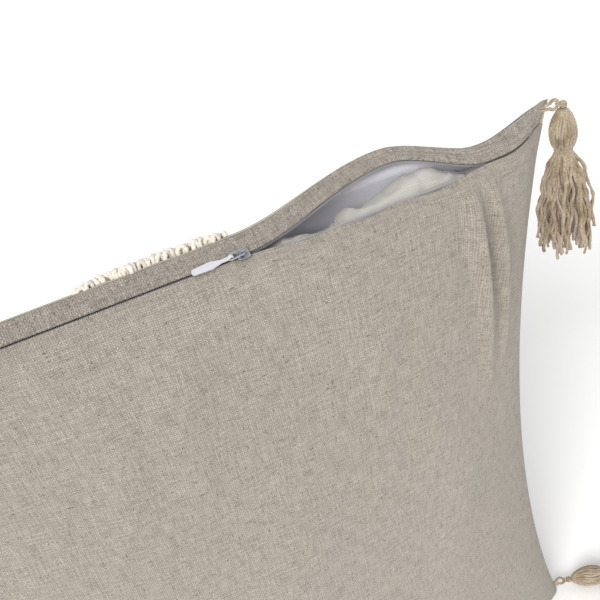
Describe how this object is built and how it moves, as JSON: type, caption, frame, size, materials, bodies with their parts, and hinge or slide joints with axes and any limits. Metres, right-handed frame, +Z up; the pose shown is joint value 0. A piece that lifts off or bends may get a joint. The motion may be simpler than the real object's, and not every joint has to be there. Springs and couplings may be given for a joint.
{
  "type": "throw pillow",
  "caption": "Square throw pillow with a zipped linen cover, tufted front, filled insert and hanging corner tassels; the zip is part open.",
  "frame": {"origin": "on the surface the pillow stands on, below the middle of its box", "axes": "+X across the width, +Y out of the tufted front, -Y out of the zipped back, +Z up"},
  "size_m": [0.6508, 0.1401, 0.45],
  "materials": {
    "linen": "plain woven flax and cotton, matte, with slubs",
    "front_cloth": "plain woven cotton, matte",
    "lining": "smooth white woven polyester lining",
    "tuft_yarn": "tufted soft cotton loops",
    "thread": "spun polyester sewing thread",
    "insert_cloth": "white spun-bonded fabric, slightly crinkled",
    "filling": "loose polyester fibre",
    "zip_tape": "woven polyester tape",
    "zip_coil": "moulded nylon coil",
    "zip_metal": "plated zinc alloy",
    "pull_enamel": "pale baked enamel on metal",
    "tassel_yarn": "twisted undyed cotton yarn"
  },
  "bodies": {
    "pillow": {"back_panel": "linen", "zipper_flap": "linen", "front_panel": "front_cloth", "front_lining": "lining", "front_tufting": "tuft_yarn", "flap_stitching": "thread", "insert_back": "insert_cloth", "insert_front": "insert_cloth", "insert_filling": "filling", "zipper_tape_lower": "zip_tape", "zipper_coil_lower": "zip_coil", "zipper_top_stops": "zip_metal", "zipper_bottom_stop": "zip_metal", "hanging_loop_top_left": "tassel_yarn", "hanging_loop_top_right": "tassel_yarn", "hanging_loop_low_left": "tassel_yarn", "hanging_loop_low_right": "tassel_yarn"},
    "upper_lip": {"zipper_tape_upper": "zip_tape", "zipper_coil_upper": "zip_coil"},
    "slider": {"slider_body": "zip_metal", "slider_bridge": "zip_metal"},
    "pull_link": {"pull_link": "zip_metal"},
    "pull_tab": {"pull_tab": "pull_enamel"},
    "knot_top_left": {"tassel_knot_top_left": "tassel_yarn"},
    "tassel_top_left": {"tassel_head_top_left": "tassel_yarn", "tassel_binding_top_left": "tassel_yarn", "tassel_skirt_top_left": "tassel_yarn"},
    "knot_top_right": {"tassel_knot_top_right": "tassel_yarn"},
    "tassel_top_right": {"tassel_head_top_right": "tassel_yarn", "tassel_binding_top_right": "tassel_yarn", "tassel_skirt_top_right": "tassel_yarn"},
    "knot_low_left": {"tassel_knot_low_left": "tassel_yarn"},
    "tassel_low_left": {"tassel_head_low_left": "tassel_yarn", "tassel_binding_low_left": "tassel_yarn", "tassel_skirt_low_left": "tassel_yarn"},
    "knot_low_right": {"tassel_knot_low_right": "tassel_yarn"},
    "tassel_low_right": {"tassel_head_low_right": "tassel_yarn", "tassel_binding_low_right": "tassel_yarn", "tassel_skirt_low_right": "tassel_yarn"}
  },
  "joints": [
    {"name": "slider_slide", "type": "slide", "parent": "pillow", "child": "slider", "axis": [1, 0, 0], "range_m": [-0.1869, 0.1469], "deforming": ["zipper_coil_lower", "zipper_tape_lower"]},
    {"name": "upper_lip_turn", "type": "hinge", "parent": "pillow", "child": "upper_lip", "pos_m": [0, 0.0504, 0.318], "axis": [1, 0, 0], "range_deg": [-13.25, 10.42], "deforming": ["zipper_tape_upper", "zipper_coil_upper"]},
    {"name": "pull_link_swing", "type": "hinge", "parent": "slider", "child": "pull_link", "pos_m": [0.02, -0.01557, 0.43631], "axis": [0, 0.9397, 0.342], "range_deg": [0, 120]},
    {"name": "pull_tab_swing", "type": "hinge", "parent": "pull_link", "child": "pull_tab", "pos_m": [0.01315, -0.01507, 0.43495], "axis": [0, 0.9397, 0.342], "range_deg": [0, 45]},
    {"name": "knot_top_left_swing", "type": "hinge", "parent": "pillow", "child": "knot_top_left", "pos_m": [-0.23597, 0, 0.44581], "axis": [0, 1, 0], "range_deg": [0, 95]},
    {"name": "tassel_top_left_swing", "type": "hinge", "parent": "knot_top_left", "child": "tassel_top_left", "pos_m": [-0.23597, 0, 0.44046], "axis": [1, 0, 0], "range_deg": [-70, 70]},
    {"name": "knot_top_right_swing", "type": "hinge", "parent": "pillow", "child": "knot_top_right", "pos_m": [0.23597, 0, 0.44581], "axis": [0, -1, 0], "range_deg": [0, 95]},
    {"name": "tassel_top_right_swing", "type": "hinge", "parent": "knot_top_right", "child": "tassel_top_right", "pos_m": [0.23597, 0, 0.44046], "axis": [1, 0, 0], "range_deg": [-70, 70]},
    {"name": "knot_low_left_swing", "type": "hinge", "parent": "pillow", "child": "knot_low_left", "pos_m": [-0.2293, 0, 0.0073], "axis": [0, 0, 1], "range_deg": [-80, 30]},
    {"name": "tassel_low_left_lift", "type": "hinge", "parent": "knot_low_left", "child": "tassel_low_left", "pos_m": [-0.238, -0.00406, 0.00827], "axis": [-0.4226, 0.9063, 0], "range_deg": [0, 75]},
    {"name": "knot_low_right_swing", "type": "hinge", "parent": "pillow", "child": "knot_low_right", "pos_m": [0.2293, 0, 0.0073], "axis": [0, 0, -1], "range_deg": [-80, 30]},
    {"name": "tassel_low_right_lift", "type": "hinge", "parent": "knot_low_right", "child": "tassel_low_right", "pos_m": [0.238, -0.00406, 0.00827], "axis": [-0.4226, -0.9063, 0], "range_deg": [0, 75]}
  ],
  "couplings": [
    {"joint": "upper_lip_turn", "follows": "slider_slide", "rad_per_m": 1.2358}
  ]
}
